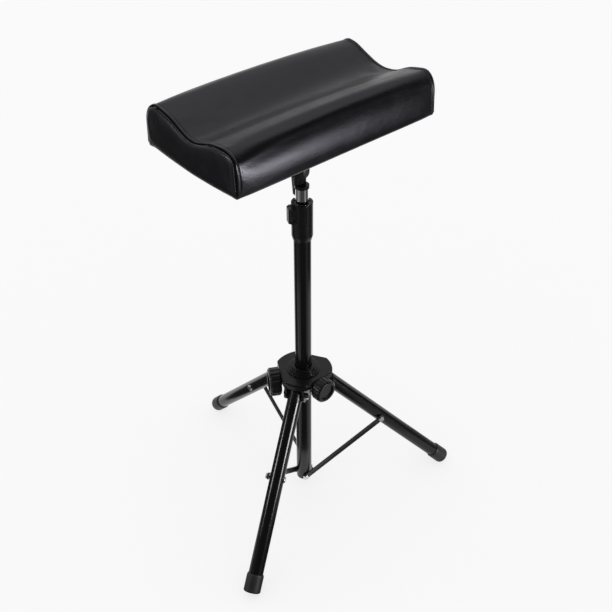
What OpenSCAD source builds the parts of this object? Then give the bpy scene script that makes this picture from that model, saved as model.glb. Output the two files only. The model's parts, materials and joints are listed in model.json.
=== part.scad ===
// Arm rest stand: a padded rest on a tilting head, a telescopic post and a folding tripod.
// Millimetres. The floor is z = 0, the column stands on the Z axis, X runs along the pad.

/* [Column] */
// Outer diameter of the painted column tube
column_od = 28; // [24:0.5:34]
// Wall of the column tube
column_wall = 1.5; // [1:0.1:2]
// Height of the column tube's lower end above the floor
column_foot_z = 18; // [14:1:40]
// Height of the column tube's upper end above the floor
column_top_z = 604; // [560:1:700]
// Length of the bottom plug inside the tube
plug_depth = 22; // [16:1:40]
// Height of the plug's rounded flange below the tube
plug_flange_h = 4; // [3:0.5:6]

/* [Tripod] */
// Angle of each leg from the vertical when the stand is open
leg_spread = 43.8; // [38:0.1:48]
// Length of a leg from its hub pivot to the end of its foot
leg_len = 340; // [320:1:380]
// Distance of the hub pivots from the column axis
leg_pivot_r = 40; // [38:0.5:46]
// Outer diameter of the leg tubes
leg_od = 25; // [20:0.5:26]
// Wall of the leg tubes
leg_wall = 1.2; // [0.8:0.1:2]
// Distance along a leg from its hub pivot to its brace pivot
brace_at = 146.6; // [130:0.1:160]
// Height of the brace pivots at the column's lower end
brace_foot_z = 24; // [22:0.5:40]
// Width of a brace strip
brace_w = 10; // [8:0.5:12]
// Thickness of a brace strip
brace_t = 2.5; // [1.5:0.1:3]
// Diameter of the brace bolts
brace_bolt_d = 5; // [4:0.5:6]

/* [Feet] */
// Outer diameter of a rubber foot
foot_od = 29; // [27:0.5:34]
// Length of a rubber foot
foot_len = 31; // [24:1:40]
// Thickness of the foot's closed end
foot_end_t = 5; // [3:0.5:8]
// Rounding of the foot's end
foot_round = 3; // [2:0.5:4]
// Depth of the flat that the foot stands on
foot_flat = 0.5; // [0.3:0.1:1]

/* [Hub] */
// Radius of the hub plate towards the legs
hub_r = 50.5; // [48:0.5:56]
// Distance of the hub's three flats from the axis
hub_flat_r = 41; // [40.5:0.5:48]
// Thickness of the hub plate
hub_plate_t = 10; // [8:0.5:14]
// Height of the hub plate's top above the leg pivots
hub_top_up = 26; // [24:0.5:32]
// Radius of the central boss
hub_boss_r = 23; // [21:0.5:25]
// Depth of the central boss below the leg pivots
hub_boss_down = 14; // [10:0.5:20]
// Wall of the hub's nylon bush
hub_bush_wall = 2.4; // [2:0.1:3]
// Thickness of each hub ear
ear_t = 4.6; // [4:0.1:6]
// Radius of the rounded end of an ear
ear_r = 11.5; // [10:0.5:12]
// Diameter of the leg pivot bolts
pivot_bolt_d = 6; // [5:0.5:8]

/* [Hub knobs] */
// Diameters of the two hub knobs, left and right
knob_d = [50, 42]; // [36:1:52]
// Thickness of a hub knob
knob_t = 20; // [12:0.5:22]
// Number of flutes round a knob
knob_flutes = 16; // [10:1:20]
// Heights of the two knob axes above the leg pivots
knob_up = [4, 10]; // [4:0.5:10]
// Diameter of the knob screws
knob_screw_d = 8; // [6:0.5:8]

/* [Collar] */
// Outer diameter of the clamp collar
collar_od = 34; // [32:0.5:40]
// Length of the collar below the top of the column tube
collar_grip = 60; // [50:1:70]
// Length of the collar's tapered lower end
collar_taper = 7.5; // [5:0.5:12]
// Height of the collar's rim above the column tube
collar_rim = 5.8; // [5:0.1:16]
// Height of the clamp lug
lug_h = 25; // [20:1:30]
// Distance of the lug's tip from the axis
lug_tip_r = 24; // [23:0.5:26]
// Distance of the clamp bolt from the axis
lug_bolt_r = 18; // [17.5:0.1:18.5]
// Diameter of the clamp bolt
lug_bolt_d = 4; // [3:0.5:4]
// Compass angle of the lug about the column
lug_azimuth = 155; // [0:1:359]

/* [Post] */
// Outer diameter of the chromed post
post_od = 20; // [18:0.5:20]
// Wall of the post tube
post_wall = 1.5; // [1:0.1:2]
// Length of the post tube
post_len = 400; // [340:5:440]
// Length of post that shows above the collar
post_out = 24; // [16:1:60]
// Length of the guide bush on the post's lower end
guide_len = 30; // [20:1:40]

/* [Head] */
// Height of the tilt axis above the top of the post tube
tilt_up = 27; // [25:0.1:32]
// Height of the pad's underside above the tilt axis
head_h = 66.2; // [62:0.1:90]
// Radius of the round tilt lugs
lug_r = 9; // [8:0.5:10]
// Thickness of each tilt lug
tilt_lug_t = 7; // [6:0.5:8]
// Diameter of the tilt bolt
tilt_bolt_d = 6; // [5:0.5:8]
// Radius of the head plate under the pad
plate_r = 38; // [34:1:45]
// Thickness of the head plate
plate_t = 5; // [4:0.5:8]
// Radius of the circle that the pad screws stand on
screw_circle_r = 29; // [27:0.5:31]
// Diameter of the pad screws
screw_d = 5; // [4:0.5:6]
// Length of the tilt lever from its axis to its tip
lever_len = 50; // [40:1:52]
// Width of the tilt lever's arm
lever_w = 9; // [7:0.5:10]
// Angle of the tilt lever from hanging straight down
lever_lean = 5; // [0:1:30]

/* [Pad] */
// Length of the pad
pad_l = 370; // [300:1:450]
// Width of the pad
pad_w = 204; // [160:1:240]
// Height of the two long ridges at the pad's ends
ridge_h = 64.5; // [55:0.5:80]
// Height of the valley between the ridges at the pad's ends
valley_h = 44.5; // [36:0.5:50]
// Distance of each ridge from the middle of the pad
ridge_y = 77; // [60:1:85]
// Height at which the long sides turn over into the top
shoulder_h = 40; // [30:0.5:44]
// Extra height of the top half way along the pad
crown_h = 4; // [0:0.5:8]
// How far each long side swells half way along the pad
side_swell = 1; // [0:0.5:4]
// Thickness of the cover
cover_t = 1.5; // [1:0.1:2]
// Thickness of the plywood board
board_t = 12; // [9:1:15]
// Distance of the pad's middle from the post, along and across
pad_off = [-7, 6]; // [-20:1:20]
// Length of one staple
staple_l = 10; // [8:0.5:12]
// Width and height of the staple wire
staple_wire = 0.7; // [0.5:0.1:1]

/* [Hidden] */
$fn = 72;

// Legs in order: left, right, back. The back leg carries the hub.
LEFT = 0;
RIGHT = 1;
BACK = 2;
leg_azimuths = [-150, -30, 90];
knob_azimuths = [150, -90];
blind_azimuth = 30;
// One overrun serves every cut
over = 1;
// Gap of a running fit, of a fit between fixed pieces, and of a piece that passes another
run_gap = 0.1;
fit_gap = 0.05;
pass_gap = 0.4;
// Room that the folding tripod needs at the hub: sliding on the column and at the two open pivots
hub_play = 1;
pivot_play = 1;
ear_play = 0.9;

column_r = column_od / 2;
column_bore_r = column_r - column_wall;
leg_r = leg_od / 2;
leg_bore_r = leg_r - leg_wall;
foot_r = foot_od / 2;
post_r = post_od / 2;
post_bore_r = post_r - post_wall;

// Height of the middle of the foot's end above the floor, with its flat on the floor
foot_drop = foot_round + (foot_r - foot_round) * sin(leg_spread) - foot_round * cos(leg_spread) - foot_flat;
hub_z = foot_drop + leg_len * cos(leg_spread);
brace_top_r = leg_pivot_r + brace_at * sin(leg_spread);
brace_top_z = hub_z - brace_at * cos(leg_spread);
brace_rise = brace_top_z - brace_foot_z;
brace_len = sqrt(brace_top_r * brace_top_r + brace_rise * brace_rise);
brace_spread = atan2(brace_top_r, brace_rise);
brace_face = column_r + pass_gap;
brace_out = brace_face + brace_t;
brace_groove_w = 0.45 * brace_w;
brace_groove_t = 0.35 * brace_t;
brace_head_r = 1.1 * brace_bolt_d;
brace_head_t = 0.55 * brace_bolt_d;
anchor_depth = 0.7 * column_bore_r;

pivot_r = pivot_bolt_d / 2;
ear_in = leg_r + ear_play;
ear_out = ear_in + ear_t;
pivot_head_t = 0.55 * pivot_bolt_d;
pivot_head_r = 0.95 * pivot_bolt_d;
pivot_nut_af = 1.6 * pivot_bolt_d;
pivot_nut_t = 0.8 * pivot_bolt_d;
pivot_end = 0.15 * pivot_bolt_d;
hub_bush_r = column_r + hub_play;
hub_bore_r = hub_bush_r + hub_bush_wall;
hub_ring_h = 3;
hub_ring_step = 3.7;
hub_edge = 2;
ear_back_r = hub_boss_r - 2 * hub_edge;
ear_top = hub_top_up - hub_plate_t + hub_edge;
hub_knob_boss_r = 0.95 * knob_screw_d;
spigot_len = 24;
plug_below = 14;

LEFT_KNOB = 0;
RIGHT_KNOB = 1;
knob_gap = 0.6;
blind_up = (knob_up[LEFT_KNOB] + knob_up[RIGHT_KNOB]) / 2;
knob_in_r = hub_flat_r + knob_gap;
knob_face_r = knob_in_r + knob_t;
knob_dish_t = 0.14 * knob_t;
knob_edge = 0.15 * knob_t;
screw_tip_r = column_r + hub_play;
knob_screw_r = knob_screw_d / 2;
knob_screw_bite = 0.7 * knob_t;

collar_r = collar_od / 2;
collar_foot_z = column_top_z - collar_grip;
collar_top_z = column_top_z + collar_rim;
collar_edge = 1;
rim_cut_r = 17;
rim_cut_depth = 5;
rim_cut_azimuth = 49;
collar_lip = 0.8;
collar_mouth_r = column_r - collar_lip;
sleeve_flange_t = 3;
sleeve_len = 60;
slit_w = 2;
lug_near = 12.5;
lug_far = 6.5;
lug_cut = 4;
lug_drop = 30.8;
lug_z = collar_top_z - lug_drop;
lug_bolt_z = lug_z + 0.32 * lug_h;
lug_recess_r = 4;
lug_recess_t = 5.2;
lug_head_sink = 1.6;
nut_af = 7;
nut_t = 3.2;
rib_slot = [1.6, 0.8, 25];
rib_slot_azimuth = 249;
rib_slot_drop = 30;
rib_slot_z = collar_top_z - rib_slot_drop;

post_top_z = collar_top_z + post_out;
post_foot_z = post_top_z - post_len;
end_plug_flange_t = 3;
knuckle_flange_t = 5;
knuckle_lip = 1.4;
knuckle_flange_r = post_r + knuckle_lip;
knuckle_spigot = 25;

tilt_z = post_top_z + tilt_up;
tilt_bolt_r = tilt_bolt_d / 2;
tilt_half_gap = 0.4;
washer_r = 0.85 * lug_r;
washer_t = 0.5;
tilt_lug_out = tilt_half_gap + tilt_lug_t;
tilt_head_r = 0.65 * lug_r;
tilt_head_t = 2;
lever_boss_r = 6;
lever_boss_l = 13.5;
lever_arm_t = 3.2;
neck_low_r = 11;
neck_top_r = 13;
neck_seat_r = 1.6 * neck_top_r;
neck_start = 12;
neck_straight_h = 50;
pad_z = tilt_z + head_h;

pad_half_w = pad_w / 2;
pad_half_l = pad_l / 2;
cloth_t = 0.8;
cloth_inset = 12;
cover_z = cloth_t + fit_gap;
hem_w = 25;
board_z = cover_z + cover_t + fit_gap;
board_top = board_z + board_t;
board_tuck = 0.5;
soft_gap = 0.3;
foam_z = board_top + soft_gap;
panel_t = 1.5;
welt_t = 2.4;
welt_proud = 0.8;
panel_half_l = pad_half_l - panel_t;
welt_half_l = panel_half_l - welt_t;
corner_r = 3;
board_inset = corner_r + board_tuck;
tee_r = 9;
tee_t = 1.3;
tee_barrel_r = 3.3;
tee_barrel_l = 9;
staple_rows = [9, 5];
staple_inset = 18;

// Places across the pad as shares of its half width, from the back to the middle
top_shares = [0.995, 0.965, 0.91, 0.83, 0.755, 0.64, 0.5, 0.36, 0.23, 0.11, 0];
// Stations along the pad as shares of half its length
station_shares = [-1, -0.94, -0.8, -0.6, -0.35, 0, 0.35, 0.6, 0.8, 0.94, 1];
foam_shares = [-1, -0.8, -0.35, 0, 0.35, 0.8, 1];

// Height of the pad's top at a distance y from its middle line
function top_h(y) =
    abs(y) <= ridge_y
        ? valley_h + (ridge_h - valley_h) * (1 - cos(180 * abs(y) / ridge_y)) / 2
        : shoulder_h + (ridge_h - shoulder_h)
            * sqrt(max(0, 1 - pow((abs(y) - ridge_y) / (pad_half_w - ridge_y), 2)));

// Half of the cover's outer outline, from the hem under the board to the middle of the top
half_outline = concat(
    [[pad_half_w - hem_w, cover_z]],
    [for (a = [90:-30:0]) [
        pad_half_w - corner_r + corner_r * cos(a),
        cover_z + corner_r - corner_r * sin(a)]],
    [[pad_half_w, shoulder_h / 2], [pad_half_w, shoulder_h]],
    [for (s = top_shares) [s * pad_half_w, top_h(s * pad_half_w)]]);
n_half = len(half_outline);
// The whole outline, from the back hem over the top to the front hem
outline = concat(half_outline, [for (i = [n_half - 2:-1:0]) [-half_outline[i][0], half_outline[i][1]]]);
n_out = len(outline);

function unit(v) = v / norm(v);
// The direction into the cover at point i of an open line
function inward(line, i) =
    let (a = line[max(i - 1, 0)], b = line[min(i + 1, len(line) - 1)], d = unit(b - a))
    [-d[1], d[0]];
function inset(line, t) = [for (i = [0:len(line) - 1]) line[i] + t * inward(line, i)];
// The pad is fullest half way along: above the board its top rises and its long sides swell
function crowned(x, p) =
    let (
        share = 1 - pow(x / pad_half_l, 2),
        grow = share * max(0, p[1] - foam_z) / (ridge_h - foam_z))
    [x, p[0] * (1 + side_swell * grow / pad_half_w), p[1] + crown_h * grow];

// A solid swept through stations along X from a closed section, with the faces of its first end
module swept(section, cap, xs) {
    m = len(section);
    k = len(xs);
    points = [for (x = xs) for (p = section) crowned(x, p)];
    sides = [for (j = [0:k - 2]) for (i = [0:m - 1])
        let (a = j * m + i, b = j * m + (i + 1) % m, c = a + m, d = b + m)
        each [[a, b, d], [a, d, c]]];
    end_cap = [for (f = cap) [for (i = [len(f) - 1:-1:0]) f[i] + (k - 1) * m]];
    polyhedron(points, concat(sides, cap, end_cap), convexity = 6);
}

module ring(r_out, r_in, h) {
    difference() {
        cylinder(r = r_out, h = h);
        translate([0, 0, -over])
            cylinder(r = r_in, h = h + 2 * over);
    }
}

// A round bar along +Y from y0 to y1
module bar_y(r, y0, y1) {
    translate([0, y0, 0])
        rotate([-90, 0, 0])
            cylinder(r = r, h = y1 - y0);
}

// A hexagonal nut along +Y from y0, with a bore
module nut_y(across, bore_r, y0, t) {
    translate([0, y0, 0])
        rotate([-90, 0, 0])
            difference() {
                cylinder(d = across / cos(30), h = t, $fn = 6);
                translate([0, 0, -over])
                    cylinder(r = bore_r, h = t + 2 * over);
            }
}

// A low domed head that stands on y = 0 and points along +Y
module dome_y(r, t) {
    rotate([-90, 0, 0])
        rotate_extrude()
            polygon(concat([[0, 0], [r, 0]],
                [for (a = [0:15:90]) [r * (0.62 + 0.38 * cos(a)), t * (0.3 + 0.7 * sin(a))]],
                [[0, t]]));
}

// Frame of a leg: its hub pivot at the origin, the leg running down -Z
module on_leg(k) {
    rotate([0, 0, leg_azimuths[k]])
        translate([leg_pivot_r, 0, hub_z])
            rotate([0, -leg_spread, 0])
                children();
}

// Frame of a brace: its lower pivot at the origin, the brace running up +Z
module on_brace(k) {
    rotate([0, 0, leg_azimuths[k]])
        translate([0, 0, brace_foot_z])
            rotate([0, brace_spread, 0])
                children();
}

module on_pad() {
    translate([pad_off[0], pad_off[1], pad_z])
        children();
}

// Lays an outline in Y and Z flat across the X axis and gives it a thickness
module across_x(x0, t) {
    translate([x0, 0, 0])
        rotate([90, 0, 90])
            linear_extrude(t)
                children();
}

module column_tube() {
    color("#17181a")
        difference() {
            translate([0, 0, column_foot_z])
                ring(column_r, column_bore_r, column_top_z - column_foot_z);
            for (k = [LEFT:BACK])
                translate([0, 0, brace_foot_z])
                    rotate([0, 0, leg_azimuths[k]])
                        bar_y(brace_bolt_d / 2 + run_gap, -column_r - over, 0);
        }
}

module column_plug() {
    color("#1b1b1c")
        difference() {
            union() {
                translate([0, 0, column_foot_z])
                    cylinder(r = column_bore_r - fit_gap, h = plug_depth);
                translate([0, 0, column_foot_z - plug_flange_h])
                    rotate_extrude()
                        polygon(concat([[0, 0]],
                            [for (a = [-90:15:0]) [
                                column_r - plug_flange_h + plug_flange_h * cos(a),
                                plug_flange_h + plug_flange_h * sin(a)]],
                            [[0, plug_flange_h]]));
            }
            for (k = [LEFT:BACK])
                translate([0, 0, brace_foot_z])
                    rotate([0, 0, leg_azimuths[k]])
                        bar_y(
                            brace_bolt_d / 2 + fit_gap,
                            -column_r - over,
                            -column_bore_r + anchor_depth + fit_gap);
        }
}

module brace_anchor_bolts() {
    color("#c9c9cc")
        for (k = [LEFT:BACK])
            translate([0, 0, brace_foot_z])
                rotate([0, 0, leg_azimuths[k]]) {
                    bar_y(brace_bolt_d / 2, -brace_out - fit_gap, -column_bore_r + anchor_depth);
                    translate([0, -brace_out - fit_gap, 0])
                        mirror([0, 1, 0])
                            dome_y(brace_head_r, brace_head_t);
                }
}

module collar() {
    color("#1c1c1e")
        difference() {
            union() {
                translate([0, 0, collar_foot_z])
                    cylinder(r1 = column_r + collar_edge, r2 = collar_r, h = collar_taper);
                translate([0, 0, collar_foot_z + collar_taper])
                    cylinder(r = collar_r, h = collar_top_z - collar_foot_z - collar_taper);
                rotate([0, 0, lug_azimuth])
                    translate([0, 0, lug_z])
                        linear_extrude(lug_h)
                            polygon([
                                [0, -lug_far], [lug_tip_r - lug_cut, -lug_far],
                                [lug_tip_r, -lug_far + lug_cut], [lug_tip_r, lug_near - lug_cut],
                                [lug_tip_r - lug_cut, lug_near], [0, lug_near]]);
            }
            translate([0, 0, collar_foot_z - over])
                cylinder(r = column_r + fit_gap, h = collar_grip + over);
            translate([0, 0, column_top_z - over])
                cylinder(r = collar_mouth_r + fit_gap, h = collar_rim + 2 * over);
            rotate([0, 0, lug_azimuth]) {
                translate([0, -slit_w / 2, lug_z - lug_h / 3])
                    cube([lug_tip_r + over, slit_w, collar_top_z - lug_z + lug_h]);
                translate([lug_bolt_r, 0, lug_bolt_z]) {
                    bar_y(lug_bolt_d / 2 + fit_gap, -lug_far - over, lug_near + over);
                    bar_y(lug_recess_r, lug_near - lug_recess_t, lug_near + over);
                    translate([0, -lug_far - over, 0])
                        rotate([-90, 0, 0])
                            cylinder(d = (nut_af + 2 * fit_gap) / cos(30), h = nut_t + over, $fn = 6);
                }
            }
            translate([0, 0, collar_top_z + rim_cut_r - rim_cut_depth])
                rotate([0, 0, rim_cut_azimuth - 90])
                    bar_y(rim_cut_r, 0, collar_od);
            rotate([0, 0, rib_slot_azimuth])
                translate([collar_r - rib_slot[1], -rib_slot[0] / 2, rib_slot_z])
                    cube([rib_slot[1] + over, rib_slot[0], rib_slot[2]]);
        }
}

module on_collar_bolt() {
    rotate([0, 0, lug_azimuth])
        translate([lug_bolt_r, 0, lug_bolt_z])
            children();
}

module collar_bolt() {
    color("#2a2a2c")
        on_collar_bolt()
            difference() {
                union() {
                    bar_y(lug_bolt_d / 2, -lug_far, lug_near - lug_recess_t);
                    bar_y(lug_recess_r - run_gap, lug_near - lug_recess_t, lug_near - lug_head_sink);
                }
                translate([0, lug_near - lug_recess_t / 2 - lug_head_sink, 0])
                    rotate([-90, 0, 0])
                        cylinder(r = lug_bolt_d / 2, h = lug_recess_t, $fn = 6);
            }
}

module collar_nut() {
    color("#b9b9bc")
        on_collar_bolt()
            nut_y(nut_af, lug_bolt_d / 2 + fit_gap, -lug_far, nut_t - fit_gap);
}

module column_sleeve() {
    color("#3a3a3c")
        difference() {
            union() {
                translate([0, 0, column_top_z - sleeve_len])
                    cylinder(r = column_bore_r - fit_gap, h = sleeve_len);
                translate([0, 0, column_top_z])
                    cylinder(r = collar_mouth_r, h = sleeve_flange_t);
            }
            translate([0, 0, column_top_z - sleeve_len - over])
                cylinder(r = post_r + run_gap, h = sleeve_len + sleeve_flange_t + 2 * over);
        }
}

module post_guide() {
    color("#e4e2dc")
        translate([0, 0, post_foot_z - guide_len])
            ring(column_bore_r - run_gap, post_bore_r - 2 * run_gap, guide_len - run_gap);
}

module post_tube() {
    color("#d8dadd")
        translate([0, 0, post_foot_z])
            ring(post_r, post_bore_r, post_len);
}

module post_end_plug() {
    color("#2b2b2d")
        union() {
            translate([0, 0, post_foot_z - guide_len - run_gap])
                cylinder(r = post_bore_r - 3 * run_gap, h = guide_len + spigot_len);
            translate([0, 0, post_foot_z - guide_len - run_gap - end_plug_flange_t])
                cylinder(r = post_r, h = end_plug_flange_t);
        }
}

module lower_knuckle() {
    color("#141415")
        difference() {
            union() {
                translate([0, 0, post_top_z - knuckle_spigot])
                    cylinder(r = post_bore_r - fit_gap, h = knuckle_spigot);
                translate([0, 0, post_top_z])
                    cylinder(r = knuckle_flange_r, h = knuckle_flange_t);
                intersection() {
                    translate([0, 0, post_top_z + knuckle_flange_t])
                        cylinder(r = knuckle_flange_r, h = tilt_up + lug_r);
                    translate([0, 0, tilt_z])
                        union() {
                            bar_y(lug_r, tilt_half_gap, tilt_lug_out);
                            translate([-lug_r, tilt_half_gap, -tilt_up])
                                cube([2 * lug_r, tilt_lug_t, tilt_up]);
                        }
                }
            }
            translate([0, 0, tilt_z])
                bar_y(tilt_bolt_r + run_gap, -over, tilt_lug_out + over);
        }
}

module tilt_bolt() {
    color("#c4c4c8")
        translate([0, 0, tilt_z]) {
            bar_y(tilt_bolt_r, -tilt_lug_out - fit_gap, tilt_lug_out + 0.8 * lever_boss_l);
            translate([0, -tilt_lug_out - fit_gap, 0])
                mirror([0, 1, 0])
                    dome_y(tilt_head_r, tilt_head_t);
        }
}

module tilt_washer() {
    color("#9a9a9e")
        translate([0, -washer_t / 2, tilt_z])
            rotate([-90, 0, 0])
                ring(washer_r, tilt_bolt_r + fit_gap, washer_t);
}

module tilt_lever() {
    arm_y = tilt_lug_out + lever_boss_l - lever_arm_t;
    color("#d2d4d8")
        translate([0, 0, tilt_z])
            rotate([0, -lever_lean, 0])
                difference() {
                    union() {
                        bar_y(lever_boss_r, tilt_lug_out + run_gap, tilt_lug_out + lever_boss_l);
                        translate([-lever_w / 2, arm_y, -lever_len + lever_w / 2])
                            cube([lever_w, lever_arm_t, lever_len - lever_w / 2]);
                        translate([0, 0, -lever_len + lever_w / 2])
                            bar_y(lever_w / 2, arm_y, arm_y + lever_arm_t);
                    }
                    bar_y(tilt_bolt_r + fit_gap, tilt_lug_out, tilt_lug_out + 0.8 * lever_boss_l + fit_gap);
                }
}

module on_screws() {
    for (a = [45:90:315])
        rotate([0, 0, a])
            translate([screw_circle_r, 0, 0])
                children();
}

module upper_knuckle() {
    color("#141415")
        translate([0, 0, tilt_z])
            difference() {
                union() {
                    bar_y(lug_r, -tilt_lug_out, -tilt_half_gap);
                    translate([-lug_r, -tilt_lug_out, 0])
                        cube([2 * lug_r, tilt_lug_t, neck_start + over]);
                    translate([0, 0, neck_start])
                        cylinder(r1 = neck_low_r, r2 = neck_top_r, h = neck_straight_h - neck_start);
                    translate([0, 0, neck_straight_h])
                        cylinder(r1 = neck_top_r, r2 = neck_seat_r, h = head_h - plate_t - neck_straight_h);
                    translate([0, 0, neck_straight_h])
                        cylinder(r = neck_top_r, h = head_h - neck_straight_h);
                }
                bar_y(tilt_bolt_r + run_gap, -tilt_lug_out - over, over);
            }
}

module head_plate() {
    color("#19191b")
        translate([0, 0, pad_z - plate_t])
            difference() {
                ring(plate_r, neck_top_r + fit_gap, plate_t);
                on_screws()
                    translate([0, 0, -over])
                        cylinder(d = screw_d + 2 * run_gap, h = plate_t + 2 * over);
            }
}

module pad_screws() {
    color("#b4b4b8")
        translate([0, 0, pad_z - plate_t])
            on_screws() {
                cylinder(d = screw_d, h = plate_t + board_z + tee_barrel_l);
                rotate([-90, 0, 0])
                    dome_y(screw_d * 0.9, screw_d * 0.5);
            }
}

module tee_nuts() {
    color("#a8a8ac")
        translate([0, 0, pad_z + board_top - tee_t])
            on_screws()
                difference() {
                    union() {
                        cylinder(r = tee_r, h = tee_t);
                        translate([0, 0, -tee_barrel_l])
                            cylinder(r = tee_barrel_r, h = tee_barrel_l);
                    }
                    translate([0, 0, -tee_barrel_l - over])
                        cylinder(d = screw_d + 2 * fit_gap, h = tee_barrel_l + tee_t + 2 * over);
                }
}

module pad_board() {
    board = [pad_l - 2 * board_inset, pad_w - 2 * board_inset, board_t];
    color("#b98f5f")
        difference() {
            on_pad()
                translate([-board[0] / 2, -board[1] / 2, board_z])
                    cube(board);
            translate([0, 0, pad_z + board_z])
                on_screws() {
                    translate([0, 0, -over])
                        cylinder(r = tee_barrel_r + fit_gap, h = board_t + over);
                    translate([0, 0, board_t - tee_t])
                        cylinder(r = tee_r + fit_gap, h = tee_t + over);
                }
        }
}

// The foam is two blocks that are glued together along the valley
foam_half_w = pad_half_w - cover_t - soft_gap;
foam_top = [for (p = inset(outline, cover_t + soft_gap)) if (p[1] > foam_z + over && p[0] > over) p];
foam_section = concat(
    [[foam_half_w, foam_z]],
    foam_top,
    [[0, valley_h - cover_t - soft_gap], [0, foam_z]]);

module pad_foam(side) {
    xs = [for (s = foam_shares) s * (panel_half_l - soft_gap)];
    color("#d8c98a")
        on_pad()
            mirror([0, side > 0 ? 0 : 1, 0])
                swept(foam_section, [[for (i = [len(foam_section) - 1:-1:0]) i]], xs);
}

module pad_cover() {
    xs = [for (s = station_shares) s * (welt_half_l - fit_gap)];
    inner = inset(outline, cover_t);
    section = concat(outline, [for (i = [n_out - 1:-1:0]) inner[i]]);
    cap = [for (i = [0:n_out - 2]) let (a = i, b = i + 1, c = 2 * n_out - 1 - i, d = c - 1)
        each [[a, d, b], [a, c, d]]];
    color("#101011")
        on_pad()
            swept(section, cap, xs);
}

module end_panel(side) {
    x0 = side > 0 ? panel_half_l + fit_gap : -pad_half_l;
    color("#161617")
        on_pad()
            across_x(x0, panel_t - fit_gap)
                polygon(outline);
}

module welt(side) {
    x0 = side > 0 ? welt_half_l : -panel_half_l;
    outer = inset(outline, -welt_proud);
    inner = inset(outline, cover_t);
    color("#0c0c0d")
        on_pad()
            across_x(x0, welt_t)
                polygon(concat(outer, [for (i = [n_out - 1:-1:0]) inner[i]]));
}

module dust_cloth() {
    cloth = [pad_l - 2 * cloth_inset, pad_w - 2 * cloth_inset, cloth_t];
    color("#1d1d1e")
        difference() {
            on_pad()
                translate([-cloth[0] / 2, -cloth[1] / 2, 0])
                    cube(cloth);
            translate([0, 0, pad_z - over])
                on_screws()
                    cylinder(d = screw_d + 2 * run_gap, h = cloth_t + 2 * over);
        }
}

module staples() {
    side_x = pad_half_l - staple_inset;
    side_y = pad_half_w - staple_inset;
    color("#c8c8ca")
        on_pad() {
            for (s = [-1, 1])
                for (i = [0:staple_rows[0] - 1])
                    translate([
                        (2 * i / (staple_rows[0] - 1) - 1) * (side_x - staple_l) - staple_l / 2,
                        s * side_y - staple_wire / 2,
                        -staple_wire])
                        cube([staple_l, staple_wire, staple_wire]);
            for (s = [-1, 1])
                for (i = [0:staple_rows[1] - 1])
                    translate([
                        s * side_x - staple_wire / 2,
                        (2 * i / (staple_rows[1] - 1) - 1) * (side_y - staple_l) - staple_l / 2,
                        -staple_wire])
                        cube([staple_wire, staple_l, staple_wire]);
        }
}

// The hub's plan: a circle cut by three flats that face halfway between the legs
module hub_plan(r, flat_r) {
    difference() {
        circle(r = r);
        for (a = concat(knob_azimuths, [blind_azimuth]))
            rotate([0, 0, a])
                translate([flat_r, -r])
                    square([r, 2 * r]);
    }
}

module on_hub() {
    translate([0, 0, hub_z])
        children();
}

// One pair of ears with the web that ties them to the boss
module hub_ears() {
    for (s = [-1, 1])
        translate([0, s > 0 ? ear_out : -ear_in, 0])
            rotate([90, 0, 0])
                linear_extrude(ear_t)
                    union() {
                        translate([leg_pivot_r, 0])
                            circle(r = ear_r);
                        translate([ear_back_r, -ear_r])
                            square([leg_pivot_r - ear_back_r, ear_r + ear_top]);
                        translate([leg_pivot_r - ear_r, 0])
                            square([2 * ear_r - hub_edge, ear_top]);
                    }
}

// Frame of a hub screw: its axis runs outwards from the column along +Z
module on_hub_screw(azimuth, up) {
    rotate([0, 0, azimuth])
        translate([0, 0, up])
            rotate([0, 90, 0])
                children();
}

module hub_screw_boss() {
    translate([0, 0, hub_boss_r - hub_edge])
        cylinder(r = hub_knob_boss_r, h = hub_flat_r - hub_boss_r);
}

module hub_body() {
    color("#19191b")
        on_hub()
            difference() {
                union() {
                    translate([0, 0, hub_top_up - hub_plate_t])
                        linear_extrude(hub_plate_t - hub_edge)
                            hub_plan(hub_r, hub_flat_r);
                    translate([0, 0, hub_top_up - hub_edge])
                        linear_extrude(hub_edge)
                            hub_plan(hub_r - hub_edge, hub_flat_r - hub_edge);
                    for (i = [0:2])
                        translate([0, 0, hub_top_up - hub_edge])
                            cylinder(
                                r = hub_bore_r + (3 - i) * hub_ring_step,
                                h = hub_edge + (i + 1) * hub_ring_h);
                    translate([0, 0, -hub_boss_down])
                        cylinder(r = hub_boss_r, h = hub_boss_down + ear_top);
                    for (k = [LEFT:BACK])
                        rotate([0, 0, leg_azimuths[k]])
                            hub_ears();
                    on_hub_screw(knob_azimuths[LEFT_KNOB], knob_up[LEFT_KNOB])
                        hub_screw_boss();
                    on_hub_screw(knob_azimuths[RIGHT_KNOB], knob_up[RIGHT_KNOB])
                        hub_screw_boss();
                    on_hub_screw(blind_azimuth, blind_up)
                        hub_screw_boss();
                }
                translate([0, 0, -hub_boss_down - over])
                    cylinder(r = hub_bore_r, h = hub_boss_down + hub_top_up + 4 * hub_ring_h + 2 * over);
                for (k = [LEFT:BACK])
                    rotate([0, 0, leg_azimuths[k]])
                        translate([leg_pivot_r, 0, 0]) {
                            bar_y(pivot_r + fit_gap, -ear_out - over, ear_out + over);
                            bar_y(leg_r + ear_play, -ear_in, ear_in);
                        }
                for (i = [LEFT_KNOB:RIGHT_KNOB])
                    on_hub_screw(knob_azimuths[i], knob_up[i])
                        cylinder(r = knob_screw_r + run_gap, h = hub_flat_r + over);
            }
}

module hub_bush() {
    color("#2e2e30")
        on_hub()
            difference() {
                translate([0, 0, -hub_boss_down])
                    ring(hub_bore_r - fit_gap, hub_bush_r, hub_boss_down + hub_top_up + 3 * hub_ring_h);
                for (i = [LEFT_KNOB:RIGHT_KNOB])
                    on_hub_screw(knob_azimuths[i], knob_up[i])
                        cylinder(r = knob_screw_r + run_gap, h = hub_boss_r);
            }
}

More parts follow.
